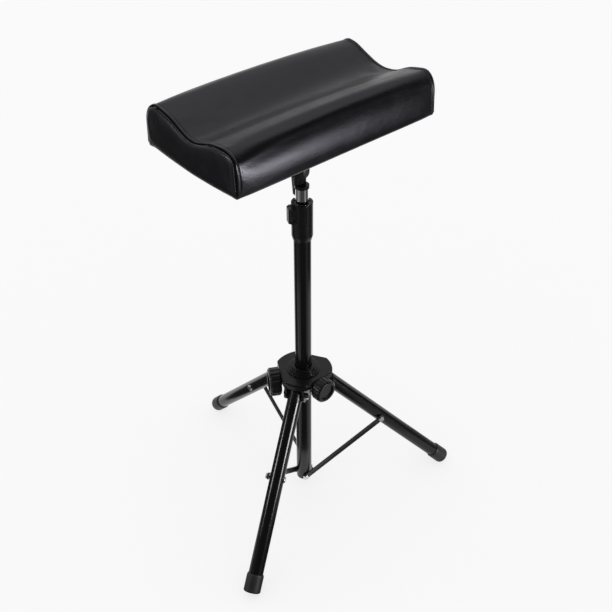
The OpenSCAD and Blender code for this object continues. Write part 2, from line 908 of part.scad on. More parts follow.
module on_pivots() {
    for (k = [LEFT:BACK])
        rotate([0, 0, leg_azimuths[k]])
            translate([leg_pivot_r, 0, hub_z])
                children();
}

module hub_pivot_bolts() {
    color("#3a3a3d")
        on_pivots() {
            bar_y(pivot_r, -ear_out - fit_gap, ear_out + pivot_nut_t + pivot_end);
            translate([0, -ear_out - fit_gap, 0])
                mirror([0, 1, 0])
                    dome_y(pivot_head_r, pivot_head_t);
        }
}

module hub_pivot_nuts() {
    color("#cfcfd2")
        on_pivots()
            nut_y(pivot_nut_af, pivot_r + fit_gap, ear_out + fit_gap, pivot_nut_t);
}

module on_knob(i) {
    on_hub()
        on_hub_screw(knob_azimuths[i], knob_up[i])
            children();
}

module knob(i) {
    knob_r = knob_d[i] / 2;
    flute_r = PI * knob_r / knob_flutes * 0.7;
    color("#1a1a1c")
        on_knob(i)
            difference() {
                intersection() {
                    translate([0, 0, knob_in_r])
                        rotate_extrude()
                            polygon([
                                [0, 0], [knob_r - knob_edge, 0], [knob_r, knob_edge],
                                [knob_r, knob_t - knob_edge], [knob_r - knob_edge, knob_t], [0, knob_t]]);
                    translate([0, 0, knob_in_r])
                        linear_extrude(knob_t)
                            difference() {
                                circle(r = knob_r);
                                for (j = [0:knob_flutes - 1])
                                    rotate([0, 0, j * 360 / knob_flutes])
                                        translate([knob_r + 0.62 * flute_r, 0])
                                            circle(r = flute_r, $fn = 24);
                            }
                }
                translate([0, 0, knob_face_r - knob_dish_t])
                    cylinder(r = 0.68 * knob_r, h = knob_dish_t + over);
                translate([0, 0, knob_in_r - over])
                    cylinder(r = knob_screw_r + fit_gap, h = knob_screw_bite + over);
            }
}

module knob_screw(i) {
    color("#b9babd")
        on_knob(i)
            translate([0, 0, screw_tip_r])
                cylinder(r = knob_screw_r, h = knob_in_r + knob_screw_bite - fit_gap - screw_tip_r);
}

module leg_tube(k) {
    tube_end = leg_len - foot_end_t - fit_gap;
    color("#131315")
        on_leg(k)
            difference() {
                translate([0, 0, -tube_end])
                    ring(leg_r, leg_bore_r, tube_end - plug_below);
                translate([0, 0, -brace_at])
                    bar_y(brace_bolt_d / 2 + fit_gap, -leg_r - over, leg_r + over);
            }
}

module leg_plug(k) {
    play = k == BACK ? run_gap : pivot_play;
    color("#1b1b1d")
        on_leg(k)
            difference() {
                union() {
                    intersection() {
                        translate([0, 0, -plug_below + fit_gap])
                            cylinder(r = leg_r, h = plug_below + leg_r);
                        union() {
                            bar_y(leg_r, -leg_r, leg_r);
                            translate([-leg_r, -leg_r, -plug_below])
                                cube([leg_od, leg_od, plug_below]);
                        }
                    }
                    translate([0, 0, -plug_below - spigot_len])
                        cylinder(r = leg_bore_r - fit_gap, h = spigot_len + fit_gap + over);
                }
                bar_y(pivot_r + play, -leg_r - over, leg_r + over);
            }
}

module foot(k) {
    color("#121212")
        difference() {
            on_leg(k)
                translate([0, 0, -leg_len])
                    difference() {
                        rotate_extrude()
                            polygon(concat([[0, 0]],
                                [for (a = [-90:15:0]) [
                                    foot_r - foot_round + foot_round * cos(a),
                                    foot_round + foot_round * sin(a)]],
                                [[foot_r, foot_len - foot_round],
                                    [foot_r - foot_round / 3, foot_len], [0, foot_len]]));
                        translate([0, 0, foot_end_t])
                            cylinder(r = leg_r + fit_gap, h = foot_len);
                    }
            translate([-leg_len, -leg_len, -foot_len])
                cube([2 * leg_len, 2 * leg_len, foot_len]);
        }
}

module brace(k) {
    color("#202022")
        on_brace(k)
            difference() {
                translate([0, -brace_face, 0])
                    rotate([90, 0, 0])
                        linear_extrude(brace_t)
                            difference() {
                                union() {
                                    circle(d = 1.2 * brace_w);
                                    translate([0, brace_len])
                                        circle(d = 1.2 * brace_w);
                                    translate([-brace_w / 2, 0])
                                        square([brace_w, brace_len]);
                                }
                                circle(r = brace_bolt_d / 2 + run_gap);
                                translate([0, brace_len])
                                    circle(r = brace_bolt_d / 2 + run_gap);
                            }
                translate([-brace_groove_w / 2, -brace_out - over, 1.5 * brace_w])
                    cube([brace_groove_w, brace_groove_t + over, brace_len - 3 * brace_w]);
            }
}

module on_brace_bolt(k) {
    on_leg(k)
        translate([0, 0, -brace_at])
            children();
}

// The bolt's bright head on one side of the leg and its nut outside the brace on the other
module brace_bolt(k) {
    color("#c9c9cc")
        on_brace_bolt(k) {
            bar_y(brace_bolt_d / 2, -brace_out - brace_head_t, leg_r + fit_gap);
            translate([0, leg_r + fit_gap, 0])
                dome_y(brace_head_r, brace_head_t);
            translate([0, -fit_gap - brace_head_t, 0])
                nut_y(1.8 * brace_bolt_d, brace_bolt_d / 2 + fit_gap, -brace_out, brace_head_t);
        }
}

module brace_spacer(k) {
    color("#8f8f93")
        on_brace_bolt(k)
            translate([0, -brace_face + fit_gap, 0])
                rotate([-90, 0, 0])
                    ring(0.9 * brace_bolt_d, brace_bolt_d / 2 + fit_gap, brace_face - leg_r - 2 * fit_gap);
}

column_tube();
column_plug();
brace_anchor_bolts();
collar();
collar_bolt();
collar_nut();
column_sleeve();
post_guide();
post_tube();
post_end_plug();
lower_knuckle();
tilt_bolt();
tilt_washer();
tilt_lever();
upper_knuckle();
head_plate();
pad_screws();
tee_nuts();
pad_board();
pad_foam(-1);  // pad_foam_front
pad_foam(1);  // pad_foam_back
pad_cover();
end_panel(-1);  // end_panel_left
end_panel(1);  // end_panel_right
welt(-1);  // welt_left
welt(1);  // welt_right
dust_cloth();
staples();
hub_body();
hub_bush();
hub_pivot_bolts();
hub_pivot_nuts();
knob(LEFT_KNOB);  // knob_left
knob_screw(LEFT_KNOB);  // knob_left_screw
knob(RIGHT_KNOB);  // knob_right
knob_screw(RIGHT_KNOB);  // knob_right_screw
leg_tube(LEFT);  // leg_tube_left
leg_tube(RIGHT);  // leg_tube_right
leg_tube(BACK);  // leg_tube_back
leg_plug(LEFT);  // leg_plug_left
leg_plug(RIGHT);  // leg_plug_right
leg_plug(BACK);  // leg_plug_back
foot(LEFT);  // foot_left
foot(RIGHT);  // foot_right
foot(BACK);  // foot_back
brace(LEFT);  // brace_left
brace(RIGHT);  // brace_right
brace(BACK);  // brace_back
brace_bolt(LEFT);  // brace_bolt_left
brace_bolt(RIGHT);  // brace_bolt_right
brace_bolt(BACK);  // brace_bolt_back
brace_spacer(LEFT);  // brace_spacer_left
brace_spacer(RIGHT);  // brace_spacer_right
brace_spacer(BACK);  // brace_spacer_back
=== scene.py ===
# Looks of the arm rest stand: finishes for its metal and plastic, and its sewn cushion.
# X runs along the pad, the floor is z = 0, and the column stands on the Z axis. The camera, the
# studio and the materials are in metres, and the cushion's own values are in millimetres.
import json
import math

import bpy
import numpy as np
from mathutils import Matrix, Vector
from mathutils.bvhtree import BVHTree


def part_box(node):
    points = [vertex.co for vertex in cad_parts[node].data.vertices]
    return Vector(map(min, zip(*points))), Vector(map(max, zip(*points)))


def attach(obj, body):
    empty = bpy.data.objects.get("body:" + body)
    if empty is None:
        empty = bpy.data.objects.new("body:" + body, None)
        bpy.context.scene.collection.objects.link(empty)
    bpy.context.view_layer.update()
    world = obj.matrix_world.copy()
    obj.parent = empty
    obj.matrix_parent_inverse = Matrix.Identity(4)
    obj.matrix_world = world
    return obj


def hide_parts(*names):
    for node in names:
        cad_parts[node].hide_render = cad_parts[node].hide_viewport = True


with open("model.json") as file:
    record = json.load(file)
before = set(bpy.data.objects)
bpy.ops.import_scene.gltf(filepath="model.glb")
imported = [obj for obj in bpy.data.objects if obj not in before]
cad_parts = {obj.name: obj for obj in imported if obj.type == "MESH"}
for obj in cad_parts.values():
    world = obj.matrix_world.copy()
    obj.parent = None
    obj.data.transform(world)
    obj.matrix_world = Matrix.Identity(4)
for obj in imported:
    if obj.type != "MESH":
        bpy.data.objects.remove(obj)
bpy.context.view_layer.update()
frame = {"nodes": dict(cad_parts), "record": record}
MM = 0.001

# Camera: its place, compass heading from +Y towards +X, pitch below the horizon, roll, lens, and
# how far it sees
CAMERA_AT = (-0.7766, -0.8954, 1.2774)
HEADING = 41.186
PITCH = 36.106
ROLL = -0.312
LENS = 52.285
VIEW_REACH = 100.0

# Studio: the world's light, the floor, how much of the floor looks plain white, and how rough the
# studio's surfaces are
WORLD_STRENGTH = 0.95
FLOOR_COLOUR = (0.86, 0.86, 0.865)
FLOOR_HALF = 14.0
FLOOR_WHITE = 0.75
MATT = 0.9
# Lamps: name, place, the point that each one faces, width, height and watts
SOFTBOXES = [
    ("softbox", (0.46, -1.56, 0.56), (-0.1, 0, 0.74), 0.66, 0.42, 17.0),
    ("side_softbox", (-1.45, 0.67, 0.78), (-0.2, 0, 0.76), 0.3, 0.3, 3.5)]
# Glowing cards on the floor round the stand, which only reflections show: painted reflections on the
# tubes and the cushion. Start and end in degrees round from +X, and how bright they are near the stand
# and farther out. CARD_RINGS has the radii of the two rings' edges.
FLOOR_REFLECTION_CARDS = [(100, 142, 0.05, 0.05), (142, 151, 0.16, 0.14), (151, 165, 0.8, 0.32),
    (165, 197, 0.5, 0.17), (197, 270, 0.05, 0.05), (270, 279, 0.16, 0.16), (279, 300, 0.42, 0.26),
    (300, 357, 0.6, 0.07)]
CARD_RINGS = (0.1, 0.68, 5.0)
CARD_Z = 0.0012
CARD_STEP = 6
# Glowing cards round the stand, which only reflections show: painted reflections. Name, span round from
# +X and rise in degrees, distance and glow. The dark one paints the reflection of the side behind the
# camera, the grey one paints the reflection of a dim wall on the cushion's top.
ROOM_REFLECTION_CARDS = [
    ("dark_room_reflection", (185, 338), (-8, 72), 5.0, 0.03),
    ("far_wall_reflection", (-18, 122), (0, 24), 6.0, 0.78),
    ("grey_wall_reflection", (-18, 122), (24, 50), 6.0, 0.5),
    ("left_wall_reflection", (122, 185), (-8, 72), 5.0, 0.08)]
ROOM_Z = 0.75
ROOM_STEPS_ROUND = 24
ROOM_STEPS_UP = 12

# Places across the pad and heights above its underside, from the back ridge to the front ridge, at
# its left end and at its right end
TOP_LEFT = [(72, 67.2), (53, 63.6), (36, 58.2), (20, 51.0), (5, 44.8), (-8, 43.4), (-19, 44.6),
    (-34, 49.4), (-52, 54.6), (-70, 56.4)]
TOP_RIGHT = [(80, 70.0), (66, 67.6), (50, 60.8), (36, 54.8), (20, 49.0), (4, 46.3), (-12, 46.8),
    (-27, 50.4), (-50, 61.0), (-77, 67.0)]
# How much higher the top is half way along the pad
CROWN = 6.2
# Height of the top's turn into the long sides at the ends and in the middle, and how square the
# turn is at the left end, at the right end and in the middle
TURN_END = 32.0
TURN_MIDDLE = 11.0
SQUARE_BACK = (2.1, 2.3)
SQUARE_FRONT = (2.9, 2.3)
SQUARE_MIDDLE = 2.1
# The long sides stand out past the part's own, have a belly half way along, and slope out below the
# turn at the ends and in again in the middle. A higher power brings the middle's form nearer to the
# ends.
WALL_OUT = 1.6
BELLY = 2.6
BELLY_POWER = 6
SIDE_SLOPE = (1.6, -2.4)
MIDDLE_POWER = 16
# How far the sides are drawn in at the end seams, and over what length
SEAM_TUCK = 3.6
TUCK_REACH = 28.0
# How far the end panels puff out, and how flat the puff is across and up the panel
PUFF = 5.0
PUFF_POWERS = (8, 4)
# The hem: its round at the left and at the right, and how far in from the edge it is back on the
# board. Along the front it hangs down by HEM_SAG at the left end, the power says how fast that fades
# towards the right, and the back corner has a share of it. END_SAG is the middle of the left end's.
HEM_ROUND = (2.2, 4.5)
HEM_TUCK = 10.0
HEM_SAG = 6.5
SAG_POWER = 1.6
BACK_SAG_SHARE = 0.3
END_SAG = 4.6
# Angles of the points round the turn and round the hem, and heights of the points down a side as
# shares of its height
TURN_MEET = 45
TURN_STEP = 5
HEM_OUTER = (15, 30, 45)
HEM_INNER = (45, 60, 75, 90)
SIDE_SHARES = (0.25, 0.5, 0.75, 1)

# Grid of the cushion: stations along it, and faces across the top and up a side. RING is the number
# of points round one station.
STATIONS = 62
ACROSS = 36
UP = 11
RING = 2 * (ACROSS + UP)
# Points on each stretch of a smooth line, along the top and under the pad, before they are evened,
# and how much the end panels' points crowd towards their edges
CURVE_STEPS = 12
TOP_POINTS = 40
UNDER_POINTS = 9
CROWDING = 0.1

# The cloth that fills out between its seams: its weight, its stiffness against stretch, shear and
# bending, the pressure inside, how high above the hem's round it is held, and how far it may move
CLOTH_QUALITY = 6
CLOTH_MASS = 0.3
CLOTH_STRETCH = 30
CLOTH_SHEAR = 12
CLOTH_BEND = 4
CLOTH_PRESSURE = 4.0
CLOTH_FRAMES = 20
CLOTH_HELD = 0.5
CLOTH_REACH = 0.9

# The sewn band beside each end seam: how far the seam lies in from the end of the pad, the band's
# width and thickness, the groove's place and depth, how far the seam sinks in, and how sharp it is
SEAM_INSET = 1.6
BAND_W = 5.2
BAND_T = 1.0
GROOVE_AT = BAND_W + 0.6
GROOVE_T = 1.4
SEAM_SINK = 1.8
SEAM_CREASE = 0.85
# Places of the stations beside a seam, and their lift: a share of the band's thickness where it is
# above zero, and of the groove's depth where it is below
BAND_AT = (0, 0.5, 1.2, 2.6, 4.3, BAND_W, GROOVE_AT, BAND_W + 1.3, BAND_W + 4, BAND_W + 8)
BAND_LIFTS = (-1.2, 0.1, 0.95, 1.05, 0.95, 0.5, -1, 0, 0, 0)
# Free length between those stations and the others, and how far above the hem the band fades in
BAND_CLEAR = 3
FADE_FROM = 1
FADE_OVER = 4

# Stitches: length, radius, pitch, and how far they lie proud as a share of the radius. A stitch is
# a capsule whose profile has places along it and shares of its radius.
STITCH_L = 3.2
STITCH_R = 0.42
STITCH_PITCH = 4.4
STITCH_PROUD = 0.35
STITCH_SIDES = 6
STITCH_PROFILE = ((0, 0.7), (0.2, 1), (0.8, 1), (1, 0.7))
# How far the end panel's row lies in from the seam and out from it, and where the rows start above
# the hem
END_ROW_IN = 2.2
END_ROW_OUT = 1
ROWS_FROM = 2.5
# The near-black cord in the seam, which paints the seam's shade: its radius, and how far in it lies
SHADE_CORD_R = 0.9
SHADE_CORD_IN = 0.5
SHADE_CORD_SIDES = 8

# Share of a noise's range that a change of tone or roughness follows
NOISE_RANGE = (0.3, 0.7)
BEVEL_SAMPLES = 6


# Materials

class Coat:
    """A material in the making: its nodes, its shader and the relief that it has so far."""

    def __init__(self, name, colour, roughness, metallic=0.0, specular=0.5, ior=1.5, shine=(1, 1, 1)):
        self.material = bpy.data.materials.new(name)
        self.material.use_nodes = True
        self.body = self.material.node_tree.nodes["Principled BSDF"]
        self.relief = None
        values = {"Base Color": (*colour, 1), "Roughness": roughness, "Metallic": metallic,
            "Specular IOR Level": specular, "IOR": ior, "Specular Tint": (*shine, 1)}
        for socket, value in values.items():
            self.body.inputs[socket].default_value = value

    def add(self, kind, **inputs):
        """A new node and the values of its sockets, whose names have underscores for spaces."""
        node = self.material.node_tree.nodes.new(kind)
        for socket, value in inputs.items():
            node.inputs[socket.replace("_", " ")].default_value = value
        return node

    def join(self, out, into):
        self.material.node_tree.links.new(out, into)

    def place(self, stretch=(1, 1, 1)):
        """Object coordinates, stretched: the frame's own metres on every piece."""
        coords = self.add("ShaderNodeTexCoord")
        mapping = self.add("ShaderNodeMapping", Scale=stretch)
        self.join(coords.outputs["Object"], mapping.inputs["Vector"])
        return mapping.outputs["Vector"]

    def noise(self, where, scale, detail=4.0, rough=0.55):
        node = self.add("ShaderNodeTexNoise", Scale=scale, Detail=detail, Roughness=rough)
        self.join(where, node.inputs["Vector"])
        return node.outputs["Fac"]

    def cells(self, where, scale):
        node = self.add("ShaderNodeTexVoronoi", Scale=scale)
        self.join(where, node.inputs["Vector"])
        return node.outputs["Distance"]

    def remap(self, value, low, high, start, end):
        node = self.add("ShaderNodeMapRange", From_Min=start, From_Max=end, To_Min=low, To_Max=high)
        self.join(value, node.inputs["Value"])
        return node.outputs["Result"]

    def tone(self, value, dark, light):
        """Base colour between dark and light, as the value says."""
        node = self.add("ShaderNodeValToRGB")
        for stop, at, colour in zip(node.color_ramp.elements, NOISE_RANGE, (dark, light)):
            stop.position = at
            stop.color = (*colour, 1)
        self.join(value, node.inputs["Fac"])
        self.join(node.outputs["Color"], self.body.inputs["Base Color"])

    def roughen(self, value, low, high):
        """Roughness between low and high, as the value says."""
        self.join(self.remap(value, low, high, *NOISE_RANGE), self.body.inputs["Roughness"])

    def bump(self, height, strength, distance):
        """Relief on top of what the material has so far."""
        node = self.add("ShaderNodeBump", Strength=strength, Distance=distance)
        self.join(height, node.inputs["Height"])
        if self.relief is not None:
            self.join(self.relief, node.inputs["Normal"])
        self.relief = node.outputs["Normal"]
        self.join(self.relief, self.body.inputs["Normal"])

    def ease(self, radius):
        """Edges rounded off by the radius, as moulded and pressed edges are. It comes before bumps."""
        node = self.add("ShaderNodeBevel", Radius=radius)
        node.samples = BEVEL_SAMPLES
        self.relief = node.outputs["Normal"]
        self.join(self.relief, self.body.inputs["Normal"])


def leather():
    coat = Coat("leather", (0.0022, 0.0022, 0.003), 0.26, ior=1.48, shine=(0.88, 0.86, 1))
    where = coat.place()
    coat.tone(coat.noise(where, scale=26), (0.0019, 0.0019, 0.0027), (0.0028, 0.0027, 0.0037))
    coat.roughen(coat.noise(where, scale=38, detail=6), 0.28, 0.36)
    coat.bump(coat.noise(where, scale=110, detail=3), strength=0.3, distance=0.0006)
    coat.bump(coat.noise(where, scale=430, detail=3, rough=0.7), strength=0.4, distance=0.0004)
    coat.bump(coat.cells(where, scale=820), strength=0.32, distance=0.00022)
    coat.bump(coat.noise(where, scale=1900, detail=2), strength=0.2, distance=0.0001)
    return coat.material


def painted_tube():
    coat = Coat("painted_tube", (0.004, 0.004, 0.0044), 0.16)
    where = coat.place()
    coat.roughen(coat.noise(where, scale=45, detail=5), 0.13, 0.2)
    coat.bump(coat.noise(where, scale=420, detail=2), strength=0.12, distance=0.0001)
    return coat.material


def black_plastic():
    coat = Coat("black_plastic", (0.0055, 0.0055, 0.006), 0.26, specular=0.4, shine=(0.94, 0.93, 1))
    where = coat.place()
    coat.tone(coat.noise(where, scale=60), (0.005, 0.005, 0.0055), (0.0066, 0.0066, 0.0072))
    coat.roughen(coat.noise(where, scale=90, detail=5), 0.22, 0.31)
    coat.ease(0.0012)
    coat.bump(coat.noise(where, scale=1500, detail=3), strength=0.2, distance=0.0001)
    return coat.material


def nylon():
    coat = Coat("nylon", (0.16, 0.16, 0.155), 0.5)
    where = coat.place()
    coat.tone(coat.noise(where, scale=70), (0.14, 0.14, 0.135), (0.18, 0.18, 0.17))
    coat.bump(coat.noise(where, scale=900, detail=3), strength=0.2, distance=0.0001)
    return coat.material


def black_steel():
    coat = Coat("black_steel", (0.012, 0.012, 0.0125), 0.34)
    where = coat.place()
    coat.roughen(coat.noise(where, scale=80, detail=5), 0.3, 0.42)
    coat.ease(0.0006)
    coat.bump(coat.noise(where, scale=700, detail=3), strength=0.2, distance=0.00012)
    return coat.material


def bright_steel():
    coat = Coat("bright_steel", (0.66, 0.66, 0.66), 0.24, metallic=1.0)
    where = coat.place()
    coat.tone(coat.noise(where, scale=140, detail=5), (0.56, 0.56, 0.55), (0.74, 0.74, 0.75))
    coat.roughen(coat.noise(where, scale=260, detail=5), 0.18, 0.34)
    coat.bump(coat.noise(where, scale=1300, detail=3), strength=0.15, distance=0.0001)
    return coat.material


def chrome():
    coat = Coat("chrome", (0.86, 0.85, 0.85), 0.06, metallic=1.0)
    where = coat.place(stretch=(1, 1, 0.08))
    coat.roughen(coat.noise(where, scale=500, detail=3), 0.04, 0.1)
    coat.bump(coat.noise(where, scale=900, detail=2), strength=0.03, distance=0.00005)
    return coat.material


def rubber_foot():
    coat = Coat("rubber_foot", (0.012, 0.012, 0.012), 0.5)
    where = coat.place()
    coat.tone(coat.noise(where, scale=50), (0.01, 0.01, 0.01), (0.016, 0.016, 0.016))
    coat.roughen(coat.noise(where, scale=120, detail=5), 0.42, 0.58)
    coat.ease(0.0012)
    coat.bump(coat.noise(where, scale=1100, detail=3), strength=0.3, distance=0.00015)
    return coat.material


def plywood():
    coat = Coat("plywood", (0.45, 0.3, 0.17), 0.6)
    where = coat.place(stretch=(0.15, 1, 1))
    coat.tone(coat.noise(where, scale=160, detail=6), (0.36, 0.23, 0.12), (0.56, 0.4, 0.24))
    coat.bump(coat.noise(where, scale=600, detail=4), strength=0.2, distance=0.0001)
    return coat.material


def foam():
    coat = Coat("foam", (0.62, 0.55, 0.32), 0.9)
    where = coat.place()
    coat.tone(coat.noise(where, scale=40), (0.56, 0.49, 0.28), (0.66, 0.6, 0.36))
    coat.bump(coat.cells(where, scale=700), strength=0.6, distance=0.0005)
    return coat.material


def dust_cloth():
    coat = Coat("dust_cloth", (0.014, 0.014, 0.015), 0.8)
    where = coat.place()
    fibres = coat.noise(coat.place(stretch=(1, 0.2, 1)), scale=900, detail=4)
    coat.tone(coat.noise(where, scale=120), (0.01, 0.01, 0.011), (0.022, 0.022, 0.023))
    coat.bump(fibres, strength=0.5, distance=0.0003)
    coat.bump(coat.cells(where, scale=420), strength=0.4, distance=0.0002)
    return coat.material


# Its grey is lighter than the black thread: the lit stitches' highlight is painted into the thread's
# colour.
def thread_and_highlight():
    coat = Coat("thread_and_highlight", (0.1, 0.1, 0.102), 0.4)
    coat.tone(coat.noise(coat.place(), scale=300), (0.08, 0.08, 0.082), (0.13, 0.13, 0.132))
    twist = coat.noise(coat.place(stretch=(1, 1, 3)), scale=2400, detail=2)
    coat.bump(twist, strength=0.4, distance=0.0001)
    return coat.material


# The seam cord's near-black, matte colour: painted shade for the dark line of the seam.
def seam_shade_cord():
    coat = Coat("seam_shade_cord", (0.0015, 0.0015, 0.0015), 0.8, specular=0.1)
    where = coat.place()
    coat.tone(coat.noise(where, scale=300), (0.001, 0.001, 0.001), (0.002, 0.002, 0.002))
    coat.bump(coat.noise(where, scale=1800, detail=2), strength=0.4, distance=0.0001)
    return coat.material


def reflection_glow(name, strength):
    """A reflection card's material: black, with an even white glow that paints a reflection."""
    coat = Coat(name, (0, 0, 0), MATT, specular=0.0)
    coat.body.inputs["Emission Color"].default_value = (1, 1, 1, 1)
    coat.body.inputs["Emission Strength"].default_value = strength
    return coat.material


def floor_paper():
    """White paper that keeps a part of the stand's shadow and otherwise looks plain white."""
    coat = Coat("floor", FLOOR_COLOUR, MATT, specular=0.0)
    path = coat.add("ShaderNodeLightPath")
    seen = path.outputs["Is Camera Ray"]
    for name in ("Is Glossy Ray", "Is Transmission Ray"):
        either = coat.add("ShaderNodeMath")
        either.operation = "MAXIMUM"
        coat.join(seen, either.inputs[0])
        coat.join(path.outputs[name], either.inputs[1])
        seen = either.outputs["Value"]
    white = coat.add("ShaderNodeEmission", Strength=1.0)
    mix = coat.add("ShaderNodeMixShader")
    coat.join(coat.remap(seen, 0, FLOOR_WHITE, 0, 1), mix.inputs["Fac"])
    coat.join(coat.body.outputs["BSDF"], mix.inputs[1])
    coat.join(white.outputs["Emission"], mix.inputs[2])
    coat.join(mix.outputs["Shader"], coat.material.node_tree.nodes["Material Output"].inputs["Surface"])
    return coat.material


FINISHES = {f.__name__: f() for f in (painted_tube, black_plastic, nylon, black_steel, bright_steel,
    chrome, rubber_foot, leather, plywood, foam, dust_cloth, thread_and_highlight, seam_shade_cord)}


def finish_cad_nodes():
    for part in frame["record"]["subparts"]:
        node = frame["nodes"][part["node"]]
        node.data.materials.clear()
        node.data.materials.append(FINISHES[part["material_slot"]])


# Meshes and lines

def new_object(name, points, faces, material, smooth=True):
    mesh = bpy.data.meshes.new(name)
    mesh.from_pydata([tuple(p) for p in points], [], [tuple(f) for f in faces])
    mesh.validate()
    if smooth:
        mesh.polygons.foreach_set("use_smooth", [True] * len(mesh.polygons))
    mesh.materials.append(material)
    piece = bpy.data.objects.new(name, mesh)
    bpy.context.scene.collection.objects.link(piece)
    return piece


def length_of(line):
    return float(np.linalg.norm(np.diff(line, axis=0), axis=1).sum())


def even(line, count):
    """The same line with count points, evenly spaced."""
    gaps = np.linalg.norm(np.diff(line, axis=0), axis=1)
    at = np.concatenate([[0], np.cumsum(gaps)])
    wanted = np.linspace(0, at[-1], count)
    return np.column_stack([np.interp(wanted, at, line[:, k]) for k in range(line.shape[1])])


def smooth_line(keys, count):
    """A smooth line through the keys, with count points evenly spaced along it."""
    keys = np.array(keys, float)
    ends = np.vstack([2 * keys[0] - keys[1], keys, 2 * keys[-1] - keys[-2]])
    points = []
    for i in range(len(keys) - 1):
        a, b, c, d = ends[i:i + 4]
        for s in np.linspace(0, 1, CURVE_STEPS, endpoint=False):
            points.append(0.5 * (2 * b + (c - a) * s + (2 * a - 5 * b + 4 * c - d) * s * s
                + (3 * b - a - 3 * c + d) * s ** 3))
    points.append(keys[-1])
    return even(np.array(points), count)


def at_share(line, share):
    """The point at a share of the line's points."""
    where = share * (len(line) - 1)
    return np.array([np.interp(where, np.arange(len(line)), line[:, k]) for k in range(line.shape[1])])


def blend(pair, share):
    return pair[0] * (1 - share) + pair[1] * share


# Cushion

left_lo, left_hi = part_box("end_panel_left")
right_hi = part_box("end_panel_right")[1]
PAD_MID = Vector(((left_lo.x + right_hi.x) / 2, (left_lo.y + left_hi.y) / 2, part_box("dust_cloth")[0].z))
HALF_L = (right_hi.x - left_lo.x) / 2 - SEAM_INSET * MM
HALF_W = (left_hi.y - left_lo.y) / 2
BASE_Z = left_lo.z - PAD_MID.z


def turn(ridge, wall, turn_h, square, angles):
    """The top's turn into a long side, from the ridge at angle 90 to the side at angle 0."""
    points = []
    for a in np.radians(angles):
        share_y = math.cos(a) ** (2 / square)
        share_h = math.sin(a) ** (2 / square)
        points.append((ridge[0] + (wall - ridge[0]) * share_y, turn_h + (ridge[1] - turn_h) * share_h))
    return points


def side(ridge, wall, turn_h, square, slope, low, hem):
    """A long side from its turn down to the hem, and the hem's inner half, outward positive."""
    flat = list(range(TURN_MEET, -1, -TURN_STEP))
    down = [(wall + slope * s, turn_h + (low + hem - turn_h) * s) for s in SIDE_SHARES]
    corner = down[-1][0] - hem
    outer, inner = ([(corner + hem * math.cos(a), low + hem - hem * math.sin(a)) for a in np.radians(half)]
        for half in (HEM_OUTER, HEM_INNER))
    return turn(ridge, wall, turn_h, square, flat) + down + outer, inner


def mirrored(line):
    return [(-y, h) for y, h in line]


def section(t):
    """The cushion's outline at t from -1, the left end, to 1, the right end: top, front side, bottom
    and back side."""
    share = (t + 1) / 2
    middle = 1 - t ** MIDDLE_POWER
    from_end = (1 - abs(t)) * HALF_L / MM
    lift = CROWN * (1 - t * t)
    keys = [blend((np.array(a), np.array(b)), share) + (0, lift) for a, b in zip(TOP_LEFT, TOP_RIGHT)]
    drawn_in = SEAM_TUCK * max(0, 1 - from_end / TUCK_REACH) ** 2
    wall = HALF_W / MM + WALL_OUT + BELLY * (1 - t ** BELLY_POWER) - drawn_in
    turn_h = blend((TURN_END, TURN_MIDDLE), middle)
    back = blend((blend(SQUARE_BACK, share), SQUARE_MIDDLE), middle)
    front = blend((blend(SQUARE_FRONT, share), SQUARE_MIDDLE), middle)
    steep = list(range(TURN_MEET, 90, TURN_STEP))
    top = turn(keys[0], wall, turn_h, back, steep)
    top += [tuple(p) for p in smooth_line(keys, TOP_POINTS)]
    top += turn(keys[-1], -wall, turn_h, front, steep[::-1])

    base = BASE_Z / MM
    near_end = max(0, 1 - from_end / HEM_TUCK)
    sag = HEM_SAG * (1 - share) ** SAG_POWER
    hem = blend(HEM_ROUND, share)
    slope = blend(SIDE_SLOPE, middle)
    back_low = base - sag * near_end * BACK_SAG_SHARE
    back_side, back_under = side(keys[0], wall, turn_h, back, slope, back_low, hem)
    front_ridge = mirrored(keys[-1:])[0]
    front_side, front_under = side(front_ridge, wall, turn_h, front, slope, base - sag, hem)
    tuck = wall - HEM_TUCK - hem
    across = np.linspace(-tuck, tuck, UNDER_POINTS)
    droop = END_SAG * (1 - (across / tuck) ** 2) + sag * (1 + across / tuck) / 2
    under = zip(across, base - near_end * (1 - share) * droop)
    bottom = back_under + mirrored(under) + mirrored(front_under[::-1])
    return (even(np.array(top), ACROSS + 1), even(np.array(mirrored(front_side)), UP + 1),
        even(np.array(bottom), ACROSS + 1), even(np.array(back_side), UP + 1))


def ring_at(t):
    """The closed outline: over the top from back to front, down, under, and up again."""
    top, front, bottom, back = section(t)
    return np.vstack([top[:-1], front[:-1], bottom[::-1][:-1], back[::-1][:-1]])


def to_frame(x, line):
    """Points of an outline in millimetres, placed at x along the pad in the frame."""
    return np.column_stack([np.full(len(line), PAD_MID.x + x), PAD_MID.y + line[:, 0] * MM,
        PAD_MID.z + line[:, 1] * MM])


def crowd(share):
    """Shares from 0 to 1, drawn closer together towards both ends."""
    return share - CROWDING * np.sin(2 * math.pi * share)


